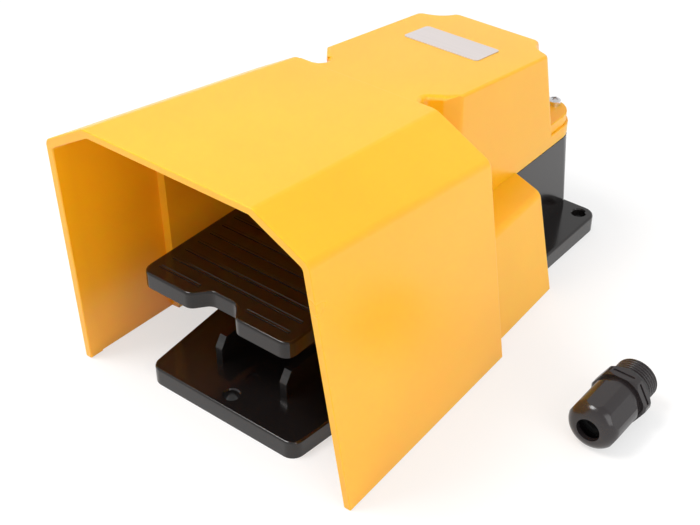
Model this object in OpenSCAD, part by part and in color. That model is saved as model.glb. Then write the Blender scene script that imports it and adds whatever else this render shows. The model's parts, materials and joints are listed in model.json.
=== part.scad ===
// Industrial foot switch: guarded pedal on a mounting base, with a snap switch
// in a closed housing, and its cable gland lying beside it.
// Frame: X = 0 is the plane of symmetry, +Y runs to the rear, Z = 0 is the floor.
// The origin is midway between the two rear fixing holes.

/* [Base plate] */
// Distance from the rear fixing holes to the front edge of the base
base_front = 225; // [215:1:260]
// Distance from the rear fixing holes to the rear edge of the base
base_rear = 7; // [6:0.5:10]
// Width of the base at its front edge
tongue_w = 84; // [70:1:96]
// Width of the base at the rear lugs
flange_w = 108; // [104:1:116]
// Thickness of the base plate
plate_t = 9; // [7:0.5:12]
// Wall of the hollow underside
plate_wall = 3; // [2:0.5:4]
// Diameter of the three fixing holes
hole_d = 7; // [5:0.5:8]
// Distance between the two rear fixing holes
rear_spacing = 93; // [90:1:95]
// Distance from the rear fixing holes to the front fixing hole
front_hole_y = 217; // [205:1:218]

/* [Switch housing] */
// Width of the housing at its foot
house_w = 75; // [72:1:78]
// Rear of the housing, behind the rear fixing holes
house_rear = 2.4; // [1:0.2:4]
// Height of the housing rim
house_h = 55; // [53:0.5:59]
// Wall of the housing
house_wall = 3; // [2.5:0.5:4]
// Diameter of the threaded cable entry
entry_d = 20; // [16:1:22]
// Height of the cable entry
entry_z = 28; // [24:1:34]

/* [Guard and cover] */
// Width of the guard opening at the floor
guard_w = 156; // [146:1:170]
// Height of the guard roof at the opening
guard_h = 139; // [125:1:160]
// Width of the flat roof at the opening
roof_w = 87; // [76:1:96]
// Slope of the roof towards the rear, in degrees
roof_slope = 7.7; // [6:0.1:9]
// Forward lean of the guard opening, in degrees
guard_lean = 5; // [2:0.5:7]
// Wall of the moulding
cover_wall = 3; // [2.5:0.5:4]

/* [Pedal] */
// Width of the pedal plate
pedal_w = 82; // [70:1:90]
// Length of the pedal plate
pedal_len = 97; // [85:1:98]
// Thickness of the pedal plate
pedal_t = 8; // [6:0.5:9]
// Height of the pedal's top face above the floor
pedal_z = 62.9; // [60:0.1:66]
// Spacing of the grip ribs
rib_pitch = 7.8; // [6:0.2:10]
// Diameter of the pivot shaft
shaft_d = 8; // [6:0.5:9]
// Full travel of the pedal, in degrees
pedal_travel = 14; // [8:0.5:14]

/* [Cable gland] */
// Outside diameter of the connection thread
gland_thread_d = 20; // [16:1:22]
// Width across the flats of the hexagon
gland_hex = 24; // [20:1:27]

/* [Hidden] */
$fn = 64;
eps = 0.01;
seat = 0.3;          // gap left where pieces only rest on each other
tanr = tan(roof_slope);
tanl = tan(guard_lean);
house_front_y = pedal_len + 7 - base_front;  // behind the pedal plate
// Guard planes
guard_len = pedal_len + 22;            // length of the guard at the floor
open_y = -base_front - 7;              // floor line of the guard opening
guard_rear_y = open_y + guard_len;     // floor line of the guard's rear wall
open_top_y = open_y - guard_h * tanl;  // front edge of the roof
wall_taper = 0.036;                    // narrowing of the guard along its length
wall_draft = 0.0787;                   // draft of its side walls
chamfer_slope = 0.578;
roof_taper = 0.044;
chamfer_fall = tanr + chamfer_slope * roof_taper;
// Cover box
box_w = house_w + 1.4;
gasket_t = 1.5;
seam_z = house_h + gasket_t;           // the cover stands on the gasket
ledge_z = house_h + 13.5;
step_z = ledge_z - 5.5;
step_in = 1;                           // the block above the step is smaller by this
band_rear_y = house_rear + 0.7;
band_r = 14;
house_r = 10.5;        // rear corners of the housing at its rim
house_foot_r = 3.5;
rear_lean = 9.8 / 43;                  // the rear wall and its pockets lean forward
box_rear_y = house_rear - 11.4;        // rear wall at the height of the ledge
pocket_r = 14.5;
pocket_c = [box_w / 2 + 0.3, house_rear - 9.4];
// Pivot
pivot_y = house_front_y + 49;
pivot_z = 38;
shaft_gap = 0.05;
arm_gap = 0.7;        // from the housing side to the pedal arm
arm_t = 3.4;
shaft_len = house_w + 2 * (arm_gap + arm_t + 5);
bush_d = shaft_d + 5;
// Screw places
front_screw = [box_w / 2 - 6.4, house_front_y + 5.8];
rear_screw = [box_w / 2 - 11, house_rear - 5.6];

// Guard and cover
hood_foot = 0.5;      // the moulding ends just above the floor
lip_t = cover_wall + 0.6;
lip_len = 7;
liner_y = 184;        // where the inner wall steps in, from the rear holes
liner_t = cover_wall + 4.2;
skirt_w = house_w + 53.2;             // width of the side skirts at the floor
skirt_rear_y = pivot_y + 17;
skirt_in_x = box_w / 2 - 9.4;          // the skirts reach into the box up to here
skirt_taper = 0.047;
skirt_draft = 0.172;
skirt_slant = 0.23;                    // the skirt's rear face turns forward to the side
shoulder_z = house_h + 2.5;            // height of the shoulder beside the box
shoulder_fall = 0.179;
// Base and gasket
house_top_hw = house_w / 2 - 0.2;
house_top_rear = house_rear - 0.2;
screw_d = 4;
cover_seat_z = seam_z + 0.05;
cover_flange = 2.5;                    // flange inside the cover, on the gasket
rib_x = 18.9;         // the pedal's ribs come down on the stop ribs here
pad_z = plate_t + 5;
// Pedal and shaft
arm_in = house_w / 2 + arm_gap;
clip_x = arm_in + arm_t + 0.3;
bush_out = house_w / 2 - 2;               // outer end of the bush, with the seal beyond it
seal_d = (bush_d - shaft_d) / 2 - 0.2;
plate_low = pedal_z - pedal_t;
pedal_front = -base_front;
pedal_rear = pedal_front + pedal_len;
// Snap switch: the plunger stands over the adjusting screw
sw_len = 49.2;
sw_w = 17.4;
sw_h = 24.2;
hub_r = shaft_d / 2 + 3;
sw_z = pivot_z + hub_r + 4.5;
sw_wall = 2;
push_y = pivot_y + 10.5;          // line of the adjusting screw and the plunger
sw_front = push_y - 28.9;
sw_rear = sw_front + sw_len;
sw_hole_z = sw_z + 17;
sw_hole_d = 4.2;
sw_hole_y = [for (s = [-1, 1]) sw_front + sw_len / 2 + s * 12.7];
sw_x0 = -sw_w / 2;
lid_t = 2;
plunger_d = 5.4;
blade_z = sw_z + 5.8;
blade_y = sw_front + 6;
contact_y = blade_y + 36;
contact_r = 2.2;
strip_t = 0.8;
strip_w = 6;
swing = 3.8;           // travel of the moving contact
closed_z = blade_z - 2.8 - seat;
open_z = blade_z + 1.6 + swing + seat + 1;
riser_y = contact_y + 1.2;
tab_z = sw_z + sw_h + seat;
// Lever, spring and buffer
hub_w = 14;
pin_d = 3;
arm_low = pivot_z - 3.5;
arm_high = pivot_z + 2.5;
spring_y = pivot_y - 26;
spring_od = 12;
spring_wire = 1.6;
spring_low = plate_t + 2;
spring_high = arm_low - seat;
buffer_y = pivot_y + 21;
buffer_z = plate_t + 15;
push_low = sw_z - 3;              // end of the plunger at rest
// Switch bracket and earth screw
bracket_x = sw_w / 2 + 0.1;
bracket_t = 2;
bracket_foot_x = bracket_x + bracket_t + 7;
bracket_foot_y = [pivot_y + 12, pivot_y + 27];
earth_x = -24;
earth_y = -30;
// Edges
edge_r = 1.2;         // rounding of the base plate along its top
rim_r = 1;            // rounding of the guard's rear rim
rim_c = 0.6;          // chamfer of the fixing holes
// Cable gland, lengths from the end of its connection thread
gland_x = 134.4;
gland_y = -101;
gland_nut_d = gland_hex - 0.4;
gland_thread_l = 9;
gland_hex_z = 11;
gland_collar_z = 17.2;
gland_nut_z = 21;
gland_dome_z = 36.5;
gland_dome_r = 5.8;
gland_neck_d = gland_nut_d - 4.1;
gland_bore = 11;      // opening of the clamping nut
gland_seal_bore = 10.4;
gland_seal_d = 15.2;
gland_seal_z = 18.8;
gland_seal_l = 16;

// ---------- helper functions ----------

function unit(v) = v / norm(v);

// Corners of the outline p rounded to the radii r, with n + 1 points on each arc.
function rounded(p, r, n = 6) = [
  for (i = [0 : len(p) - 1])
    let (b = p[i],
         u = unit(p[(i + len(p) - 1) % len(p)] - b),
         v = unit(p[(i + 1) % len(p)] - b),
         half = acos(max(-1, min(1, u * v))) / 2,
         q = is_list(r) ? r[i] : r,
         c = b + unit(u + v) * q / sin(half),
         s = b + u * q / tan(half) - c,
         e = b + v * q / tan(half) - c,
         a0 = atan2(s[1], s[0]),
         a1 = atan2(e[1], e[0]),
         turn = (a1 - a0 + 540) % 360 - 180)
    each (q <= 0 ? [b] : [for (k = [0 : n]) c + q * [cos(a0 + turn * k / n), sin(a0 + turn * k / n)]])
];

// An outline mirrored to both sides of X = 0, from its right half.
function both(h) = concat(h, [for (i = [len(h) - 1 : -1 : 0]) [-h[i][0], h[i][1]]]);

// A skin over rings of equal length, closed by its first and last ring. Seen along the
// way from the first ring to the last, each ring's points run clockwise.
module loft(rings) {
  n = len(rings[0]);
  m = len(rings);
  polyhedron(
    points = [for (ring = rings) each ring],
    faces = concat(
      [[for (i = [0 : n - 1]) i]],
      [[for (i = [n - 1 : -1 : 0]) (m - 1) * n + i]],
      [for (k = [0 : m - 2], i = [0 : n - 1])
        let (j = (i + 1) % n) each [[k * n + i, (k + 1) * n + i, (k + 1) * n + j],
                                   [k * n + i, (k + 1) * n + j, k * n + j]]]));
}

module sides() {
  children();
  mirror([1, 0, 0]) children();
}

function roof_z(y) = guard_h - tanr * (y - open_top_y);

// Half outline of the guard at a station: floor, shoulder and roof corner, as
// [x, z] at the plane that leans forward from the floor line y0, moved in by t.
function guard_half(y0, t, foot = 0) =
  let (k = y0 - open_y,
       xf = guard_w / 2 - wall_taper * k - t,
       xr = roof_w / 2 - roof_taper * k - t * 0.55,
       zr = roof_z(y0 - guard_h * tanl) - t,
       // the chamfer plane meets the wall plane at the shoulder
       xs = (xf - wall_draft * (zr + chamfer_slope * xr)) / (1 - wall_draft * chamfer_slope),
       zs = zr - chamfer_slope * (xs - xr))
  [[xf - wall_draft * foot, foot], [xs, zs], [xr, zr]];

function guard_ring(y0, t, foot, r) =
  [for (p = rounded(both(guard_half(y0, t, foot)), [0, r, r, r, r, 0])) [-p[0], y0 - p[1] * tanl, p[1]]];

// ---------- guard and cover ----------

function box_plan(hw, y0, y1, rf, rr, n = 6) =
  rounded([[hw, y0], [hw, y1], [-hw, y1], [-hw, y0]], [rf, rr, rr, rf], n);
function flat_ring(plan, z) = [for (p = plan) [p[0], p[1], z]];
function roof_ring(plan, drop) = [for (p = plan) [p[0], p[1], roof_z(p[1]) - drop]];

// Insets and set-backs of an edge rounded in three steps, for a radius of one.
edge_steps = [[0, 1], [0.13, 0.5], [0.5, 0.13], [1, 0]];

module guard_shell_outer() {
  loft(concat([for (k = [3 : -1 : 0])
                guard_ring(open_y + edge_steps[k][1] * 0.5, edge_steps[k][0] * 0.5, hood_foot, 5)],
              [for (e = edge_steps) guard_ring(guard_rear_y - e[1] * rim_r, e[0] * rim_r, hood_foot, 5)]));
}

module guard_shell_inner() {
  below = -1;
  step = 0.4;
  lip_end = open_y + lip_len;
  liner_start = -liner_y + 3.5;
  loft([guard_ring(open_y - 2, lip_t - 0.4, below, 3),
        guard_ring(open_y, lip_t - 0.4, below, 3),
        guard_ring(open_y + 0.4, lip_t, below, 3),
        guard_ring(lip_end, lip_t, below, 3),
        guard_ring(lip_end + step, cover_wall, below, 3),
        guard_ring(liner_start, cover_wall, below, 3),
        guard_ring(liner_start + step, liner_t, below, 3),
        guard_ring(guard_rear_y - cover_wall, liner_t, below, 3)]);
}

// Right skirt: its outline across Y in a plane that leans forward from the floor line y,
// moved in by t; the plane turns forward to the side by the slant.
function skirt_ring(y, t, foot, slant, r) =
  let (x0 = skirt_w / 2 - skirt_taper * (y - skirt_rear_y) - t,
       z0 = shoulder_z - t + shoulder_fall * box_w / 2,
       zc = (z0 - shoulder_fall * x0) / (1 - shoulder_fall * skirt_draft),
       xc = x0 - skirt_draft * zc,
       p = rounded([[skirt_in_x, foot], [x0 - skirt_draft * foot, foot], [xc, zc],
                    [skirt_in_x, z0 - shoulder_fall * skirt_in_x]], [0, 0, r, 0]))
  [for (k = [len(p) - 1 : -1 : 0])
    let (q = p[k]) [q[0], y - q[1] * tanl - slant * (q[0] - box_w / 2), q[1]]];

module skirt_outer() {
  rear = skirt_rear_y + skirt_slant * (skirt_w - box_w) / 2;
  sides() loft(concat([skirt_ring(guard_rear_y - 20, 0, hood_foot, 0, 4)],
                      [for (e = edge_steps) skirt_ring(rear - e[1], e[0] * 1.2, hood_foot, skirt_slant, 4)]));
}

module skirt_inner() {
  w = cover_wall;
  rear = skirt_rear_y + skirt_slant * (skirt_w - box_w) / 2 - w;
  sides() loft([skirt_ring(guard_rear_y - 21, w, -1, 0, 1.5), skirt_ring(rear, w, -1, skirt_slant, 1.5)]);
}

// Points on an arc about c from angle a0 to a1.
function arc(c, r, a0, a1, n) =
  [for (k = [0 : n]) c + r * [cos(a0 + (a1 - a0) * k / n), sin(a0 + (a1 - a0) * k / n)]];

// Right half of the box above the ledge, moved in by t: straight side, a rounded edge, the
// hollow over the rear screw, a second rounded edge and the rear wall.
function upper_half(t, hw, front) =
  let (side = hw - t,
       c = pocket_c,
       r = pocket_r + t,
       q1 = max(4.5 - t, 0.8),
       q2 = max(3.5 - t, 0.8),
       rear = box_rear_y - t,
       f = [side - q1, c[1] - sqrt(pow(r + q1, 2) - pow(c[0] - side + q1, 2))],
       g = [c[0] - sqrt(pow(r + q2, 2) - pow(c[1] - rear + q2, 2)), rear - q2],
       af = atan2(f[1] - c[1], f[0] - c[0]),
       ag = atan2(g[1] - c[1], g[0] - c[0]) - (g[1] > c[1] ? 360 : 0))
  concat([[side, front]], arc(f, q1, 0, af + 180, 6),
         arc(c, r, af, ag, 16), arc(g, q2, ag + 180, 90, 6));

// That outline at the height z, or on the roof plane lowered by drop.
function upper_ring(t, hw, front, z) =
  [for (p = both(upper_half(t, hw, front)))
    p[1] == front ? [p[0], p[1], z] : [p[0], p[1] - rear_lean * (z - ledge_z), z]];
function upper_roof_ring(t, hw, front, drop) =
  [for (p = both(upper_half(t, hw, front)))
    let (z0 = roof_z(0) - drop,
         y = p[1] == front ? front : (p[1] - rear_lean * (z0 - ledge_z)) / (1 - rear_lean * tanr))
    [p[0], y, roof_z(y) - drop]];

module box_outer() {
  hw = box_w / 2;
  loft([for (e = [[0, cover_seat_z], [0, step_z - 0.4], [0.4, step_z]])
    flat_ring(box_plan(hw - e[0], guard_rear_y, band_rear_y - e[0], 2, band_r), e[1])]);
  loft([for (e = [[0, step_z - 1], [0, ledge_z - 0.4], [0.4, ledge_z]])
    flat_ring(box_plan(hw - step_in - e[0], guard_rear_y, band_rear_y - step_in - e[0], 2, band_r - step_in),
              e[1])]);
  loft(concat([upper_ring(0, hw, guard_rear_y - 2, step_z - 1.1)],
              [for (e = edge_steps) upper_roof_ring(e[0] * 1.5, hw - 0.8, guard_rear_y - 12, e[1] * 1.5)]));
}

module box_inner() {
  w = cover_wall;
  hw = box_w / 2 - w;
  front = guard_rear_y - house_h * tanl + 2;
  rim = house_top_hw - house_wall;
  loft([flat_ring(box_plan(rim, front, house_top_rear - house_wall, 2, house_r - 2), seam_z - 1),
        flat_ring(box_plan(rim, front, house_top_rear - house_wall, 2, house_r - 2), seam_z + cover_flange)]);
  loft([flat_ring(box_plan(hw, front, band_rear_y - w, 2, band_r - w), seam_z + cover_flange - 0.1),
        flat_ring(box_plan(hw, front, band_rear_y - w, 2, band_r - w), step_z - w + 1)]);
  loft([upper_ring(w, box_w / 2, front, step_z - w), upper_roof_ring(w, box_w / 2 - 0.8, front - 3, w)]);
}

// The notch over a front screw lies behind the guard's leaning rear wall.
module front_pocket(t) {
  hw = box_w / 2 - 2.7;
  difference() {
    translate([-1.15 * t, house_front_y, ledge_z - t]) linear_extrude(90)
      polygon(rounded([[hw + 30, -12], [hw - 2, -12], [hw - 7, -0.5], [hw - 10, 4.5], [hw - 3.5, 10.5],
                       [hw + 2, 18], [hw + 3.1, 26], [hw + 30, 30]], [0, 0, 3, 4, 8, 10, 0, 0]));
    translate([0, guard_rear_y, 0]) rotate([guard_lean, 0, 0]) translate([0, -60, 0]) cube([80, 60.1 - t, 200]);
  }
}

module cover_screw_places() {
  sides() {
    translate([front_screw[0], front_screw[1], 0]) children();
    translate([rear_screw[0], rear_screw[1], 0]) children();
  }
}

module hood_cover() {
  color("gold")
  difference() {
    union() {
      guard_shell_outer();
      skirt_outer();
      box_outer();
    }
    difference() {
      union() {
        guard_shell_inner();
        skirt_inner();
        box_inner();
      }
      // walls round the screw pockets and screws
      sides() front_pocket(cover_wall - 0.4);
      cover_screw_places() translate([0, 0, cover_seat_z]) cylinder(r = 4.4, h = ledge_z - cover_seat_z);
    }
    sides() front_pocket(0);
    // room for the housing under the cover
    loft([flat_ring(box_plan(house_w / 2 + 0.5, house_front_y - seat, band_rear_y + 1, 2, 4), -1),
          flat_ring(box_plan(house_top_hw + 0.5, house_front_y - seat, band_rear_y + 1, 3, 4), cover_seat_z - 0.02)]);
    cover_screw_places() translate([0, 0, seam_z]) cylinder(d = screw_d + 0.6, h = ledge_z - seam_z + 1);
    // flange of the base passes under the rear of the skirt
    translate([-flange_w / 2 - 1, skirt_rear_y - 25, -1]) cube([flange_w + 2, 40, plate_t + 1 + seat]);
  }
}

module cover_gasket() {
  color("dimgray")
  translate([0, 0, house_h]) difference() {
    linear_extrude(gasket_t) gasket_outline(0.6);
    translate([0, 0, -1]) linear_extrude(gasket_t + 2) gasket_outline(house_wall - 0.2);
    cover_screw_places() translate([0, 0, -1]) cylinder(d = screw_d + 0.6, h = gasket_t + 2);
  }
}

module gasket_outline(t) {
  polygon(box_plan(house_top_hw - t, house_front_y + t, house_top_rear - t, 4, house_r - t));
}

// ---------- base ----------

module base_housing() {
  color("#1c1c1e")
  difference() {
    union() {
      loft(concat([flat_ring(base_plan(0), 0)],
                  [for (e = edge_steps) flat_ring(base_plan(e[0] * edge_r), plate_t - e[1] * edge_r)]));
      loft([flat_ring(box_plan(house_w / 2, house_front_y, house_rear, 3, house_foot_r), plate_t - 1),
            flat_ring(box_plan(house_top_hw, house_front_y, house_top_rear, 4, house_r), house_h)]);
      // stop ribs under the front of the pedal
      sides() translate([rib_x - 1.9, 0, 0]) stop_rib();
      // seat for the return spring is inside, bosses for the shaft outside
      translate([-house_w / 2 - 0.4, pivot_y, pivot_z]) rotate([0, 90, 0])
        cylinder(d = bush_d + 5, h = house_w + 0.8);
    }
    // chamber
    difference() {
      loft([for (e = [[house_w / 2, house_rear, 4, plate_t], [house_top_hw, house_top_rear, house_r, house_h + 1]])
        flat_ring(box_plan(e[0] - house_wall, house_front_y + house_wall, e[1] - house_wall, 3,
                           e[2] - house_wall), e[3])]);
      chamber_bosses();
    }
    // hollow underside
    difference() {
      translate([0, 0, -1]) linear_extrude(plate_t - plate_wall + 1) polygon(base_plan(plate_wall + 0.5));
      underside_ribs();
    }
    // fixing holes
    for (p = [[-rear_spacing / 2, 0], [rear_spacing / 2, 0], [0, -front_hole_y]]) translate([p[0], p[1], 0]) {
      translate([0, 0, -1]) cylinder(d = hole_d, h = plate_t + 2);
      translate([0, 0, plate_t - rim_c]) cylinder(d1 = hole_d, d2 = hole_d + 4 * rim_c, h = 2 * rim_c);
    }
    // shaft bore, cable entry and cover screw holes
    translate([-house_w, pivot_y, pivot_z]) rotate([0, 90, 0]) cylinder(d = bush_d, h = 2 * house_w);
    translate([0, house_rear - 14, entry_z]) rotate([-90, 0, 0]) cylinder(d = entry_d - 1.6, h = 24);
    cover_screw_places() translate([0, 0, house_h - 16]) cylinder(d = screw_d, h = 20);
    // tapped holes in the pads
    for (y = bracket_foot_y) translate([bracket_foot_x, y, plate_t]) cylinder(d = screw_d, h = 20);
    translate([earth_x, earth_y, plate_t]) cylinder(d = screw_d, h = 20);
    // small round recess behind the front hole
    translate([0, -base_front + 22, plate_t - 0.6]) cylinder(d = 6, h = 2);
  }
}

function base_plan(t) =
  let (r = min(t, 3), wide_y = house_front_y + 25)
  rounded(both([[tongue_w / 2 - t, -base_front + t], [flange_w / 2 - t, wide_y], [flange_w / 2 - t, base_rear - t]]),
          [6 - r, 30, 7 - r, 7 - r, 30, 6 - r]);

module stop_rib() {
  y = -base_front + 20.7;
  top = pivot_z + (plate_low - pivot_z) / cos(pedal_travel) + (y + 3.5 - pivot_y) * tan(pedal_travel) - 0.9;
  rotate([90, 0, 90]) linear_extrude(3.8)
    polygon([[y, plate_t - 1], [y, top - 5.4], [y + 3.5, top], [y + 26, top], [y + 30, top - 3.4],
             [y + 30, plate_t - 1]]);
}

module chamber_bosses() {
  // screw pillars
  sides() {
    translate([front_screw[0], front_screw[1], 0]) cylinder(r = 4.6, h = house_h + 1);
    translate([rear_screw[0], rear_screw[1], 0]) cylinder(r = 4.6, h = house_h + 1);
  }
  // spring seat, bracket pads and the pad for the rest buffer
  translate([0, spring_y, 0]) cylinder(d = spring_od + 3, h = plate_t + 2);
  for (y = bracket_foot_y) translate([bracket_foot_x, y, 0]) cylinder(r = 5, h = pad_z);
  translate([0, buffer_y, 0]) cylinder(r = 6, h = buffer_z);
  translate([earth_x, earth_y, 0]) cylinder(r = 5, h = pad_z);
  // thickening round the cable entry
  translate([0, house_rear - 11, entry_z]) rotate([-90, 0, 0]) cylinder(r = entry_d / 2 + 3, h = 10);
}

module underside_ribs() {
  for (y = [35 - base_front : 36 : -10]) translate([-flange_w / 2, y - 1, -2]) cube([flange_w, 2, plate_t + 4]);
  for (x = [-24, 0, 24]) translate([x - 1, -base_front, -2]) cube([2, base_front + base_rear, plate_t + 4]);
  sides() translate([rear_spacing / 2, 0, -2]) cylinder(r = hole_d / 2 + 2.8, h = plate_t + 4);
  translate([0, -front_hole_y, -2]) cylinder(r = hole_d / 2 + 2.8, h = plate_t + 4);
}

// ---------- pedal and its shaft ----------

module pedal() {
  color("#1a1a1c")
  difference() {
    union() {
      translate([0, 0, plate_low]) linear_extrude(pedal_t) polygon(pedal_plan(0));
      grip_ribs();
      sides() pedal_arm();
      // cross bar that joins the plate to the arms
      translate([-arm_in - arm_t + 0.5, pedal_rear - 14, plate_low + 0.6])
        cube([2 * (arm_in + arm_t - 0.5), 12.5, pedal_t - 2]);
    }
    // hollow underside
    translate([0, 0, plate_low - 1]) linear_extrude(pedal_t - 3 + 1)
      difference() {
        polygon(pedal_plan(4));
        for (x = [-rib_x, rib_x]) translate([x - 1.9, pedal_front]) square([3.8, pedal_len]);
        for (y = [pedal_front + 26 : 24 : pedal_rear - 10]) translate([-pedal_w / 2, y]) square([pedal_w, 2.5]);
      }
    translate([-pedal_w, pivot_y, pivot_z]) rotate([0, 90, 0]) cylinder(d = shaft_d + 0.06, h = 2 * pedal_w);
  }
}

function pedal_plan(t) =
  let (hw = pedal_w / 2 - t, f = pedal_front + t, d = 7.5)
  rounded([[hw, f], [hw, pedal_rear - t], [-hw, pedal_rear - t], [-hw, f], [-13 - t / 2, f],
           [-7 - t / 2, f + d], [7 + t / 2, f + d], [13 + t / 2, f]],
          [5, 3, 3, 5, 5, 5, 5, 5], 5);

module grip_ribs() {
  rib_w = 1.6;
  rib_h = 0.8;
  reach = pedal_w / 2 - 5;
  count = floor((pedal_len - 12) / rib_pitch);
  for (k = [0 : count]) {
    y = pedal_front + 6.2 + k * rib_pitch;
    for (s = k == 0 ? [[-reach, -13], [13, reach]] : [[-reach, reach]])
      translate([s[0], y, pedal_z - 1]) cube([s[1] - s[0], rib_w, rib_h + 1]);
  }
}

module pedal_arm() {
  top = seam_z - 5;
  translate([arm_in, 0, 0]) rotate([90, 0, 90]) linear_extrude(arm_t)
    polygon([[pedal_rear - 38, plate_low + 1], [pedal_rear - 2, plate_low + 1], [pedal_rear + 3, top],
             [pivot_y, top - 3], [pivot_y, pivot_z - 8], [pedal_rear + 2, top - 17], [pedal_rear - 20, top - 10]]);
  translate([arm_in, pivot_y, pivot_z]) rotate([0, 90, 0]) cylinder(r = shaft_d / 2 + 5, h = arm_t);
}

module pivot_shaft() {
  color("silver")
  difference() {
    translate([-shaft_len / 2, pivot_y, pivot_z]) rotate([0, 90, 0]) cylinder(d = shaft_d, h = shaft_len);
    sides() translate([clip_x, pivot_y, pivot_z]) rotate([0, 90, 0]) difference() {
      cylinder(d = shaft_d + 1, h = 1);
      translate([0, 0, -1]) cylinder(d = shaft_d - 1.6, h = 3);
    }
    translate([0, pivot_y, pivot_z - 10]) cylinder(d = pin_d, h = 20);
  }
}

module shaft_clips() {
  color("dimgray")
  sides() translate([clip_x + 0.1, pivot_y, pivot_z]) rotate([0, 90, 0]) difference() {
    cylinder(d = shaft_d + 6, h = 0.8);
    translate([0, 0, -1]) cylinder(d = shaft_d - 1.5, h = 3);
    translate([-1.6, -20, -1]) cube([3.2, 20, 3]);
  }
}

module shaft_bushes() {
  color("ivory")
  sides() translate([house_w / 2 - house_wall - 2.4, pivot_y, pivot_z]) rotate([0, 90, 0]) difference() {
    union() {
      cylinder(d = bush_d + 4, h = 1.4);
      cylinder(d = bush_d - 0.1, h = bush_out - house_w / 2 + house_wall + 2.4);
    }
    translate([0, 0, -1]) cylinder(d = shaft_d + 2 * shaft_gap, h = 20);
  }
}

module shaft_seals() {
  color("#2a2a2a")
  sides() translate([bush_out + 0.05 + seal_d / 2, pivot_y, pivot_z]) rotate([0, 90, 0]) rotate_extrude()
    translate([(shaft_d + bush_d) / 4, 0]) circle(d = seal_d, $fn = 24);
}

// ---------- lever on the shaft ----------

module cam_lever() {
  color("lightsteelblue")
  difference() {
    union() {
      translate([-hub_w / 2, pivot_y, pivot_z]) rotate([0, 90, 0]) cylinder(r = hub_r, h = hub_w);
      translate([-6, pivot_y, arm_low]) cube([12, buffer_y + 6 - pivot_y, arm_high - arm_low]);
      translate([-4, spring_y, arm_low]) cube([8, pivot_y - spring_y, arm_high - arm_low]);
      translate([0, spring_y, arm_low]) cylinder(d = spring_od + 2, h = 3);
    }
    translate([-hub_w, pivot_y, pivot_z]) rotate([0, 90, 0]) cylinder(d = shaft_d + 0.06, h = 2 * hub_w);
    translate([0, pivot_y, pivot_z - 20]) cylinder(d = pin_d, h = 40);
    translate([0, push_y, 0]) cylinder(d = screw_d, h = 80);
  }
}

module lever_pin() {
  color("silver")
  translate([0, pivot_y, pivot_z - hub_r - 0.5]) cylinder(d = pin_d - 0.04, h = 2 * hub_r + 1);
}

module adjusting_screw() {
  color("silver")
  translate([0, push_y, 0]) difference() {
    union() {
      translate([0, 0, pivot_z - 9]) cylinder(d = screw_d - 0.06, h = push_low - seat - 1 - pivot_z + 9);
      translate([0, 0, push_low - seat - 1 - eps]) cylinder(r1 = screw_d / 2 - 0.03, r2 = 1, h = 1 + eps);
    }
    translate([-0.5, -4, pivot_z - 10]) cube([1, 8, 2.2]);
  }
}

module adjusting_nut() {
  color("silver")
  translate([0, push_y, arm_high + 0.05]) hex_nut(7, 3.2, screw_d);
}

module hex_nut(flats, h, d) {
  difference() {
    cylinder(d = flats / cos(30), h = h, $fn = 6);
    translate([0, 0, -1]) cylinder(d = d, h = h + 2);
  }
}

module return_spring() {
  color("silver")
  coil(spring_od / 2 - spring_wire / 2, spring_wire / 2, spring_low + 0.05, spring_high - 0.05, 6);
}

// A coil of round wire as one skin, its end turns lying flat.
module coil(r, w, z0, z1, turns) {
  per = 24;
  n = 8;
  steps = turns * per;
  z_at = function(k)
    let (t = k / per,
         lift = t < 1 ? 0 : t > turns - 1 ? 1 : (t - 1) / (turns - 2),
         low = t < 1 ? t * 2.1 * w / 1 : 2.1 * w,
         high = t > turns - 1 ? (t - turns + 1) * 2.1 * w : 0)
    z0 + w + low + lift * (z1 - z0 - 2 * w - 4.2 * w) + high;
  loft([for (k = [0 : steps])
    let (a = k * 360 / per)
    [for (i = [0 : n - 1])
      let (b = -i * 360 / n, q = r + w * cos(b))
      [q * cos(a), spring_y + q * sin(a), z_at(k) + w * sin(b)]]]);
}

module rest_buffer() {
  color("#303030")
  translate([0, buffer_y, buffer_z + 0.05]) union() {
    cylinder(d = 11, h = 4);
    translate([0, 0, 4 - eps]) cylinder(d1 = 11, d2 = 7, h = arm_low - seat - buffer_z - 4);
  }
}

// ---------- snap switch and its bracket ----------

module switch_case() {
  color("saddlebrown")
  difference() {
    translate([sw_x0 + lid_t + 0.02, sw_front, sw_z]) cube([sw_w - lid_t - 0.02, sw_len, sw_h]);
    difference() {
      translate([sw_x0 - 1, sw_front + sw_wall, sw_z + sw_wall])
        cube([sw_w - sw_wall + 1, sw_len - 2 * sw_wall, sw_h - 2 * sw_wall]);
      for (y = sw_hole_y) translate([sw_x0 - 2, y, sw_hole_z]) rotate([0, 90, 0]) cylinder(r = 4, h = sw_w + 4);
    }
    switch_bores();
    translate([0, push_y, sw_z - 1]) cylinder(d = plunger_d + 0.1, h = 10);
    // ways out for the terminals
    translate([-strip_w / 2 - seat, sw_front - 5, blade_z - strip_t - 2 * seat]) cube([strip_w + 2 * seat, 12, strip_t + 2 * seat - 0.1]);
    translate([-strip_w / 2 - seat, sw_rear - 5, closed_z - seat]) cube([strip_w + 2 * seat, 10, strip_t + 2 * seat]);
    translate([-strip_w / 2 - seat, riser_y - seat, sw_z + sw_h - 5]) cube([strip_w + 2 * seat, strip_t + 2 * seat, 10]);
    translate([0, riser_y - 5.5, sw_z + sw_h - 1.6]) cylinder(d = screw_d + 0.8, h = 5);
  }
}

module switch_bores() {
  for (y = sw_hole_y) translate([sw_x0 - 2, y, sw_hole_z]) rotate([0, 90, 0]) cylinder(d = sw_hole_d, h = sw_w + 4);
}

module switch_lid() {
  color("peru")
  difference() {
    translate([sw_x0, sw_front, sw_z]) cube([lid_t, sw_len, sw_h]);
    switch_bores();
  }
}

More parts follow.
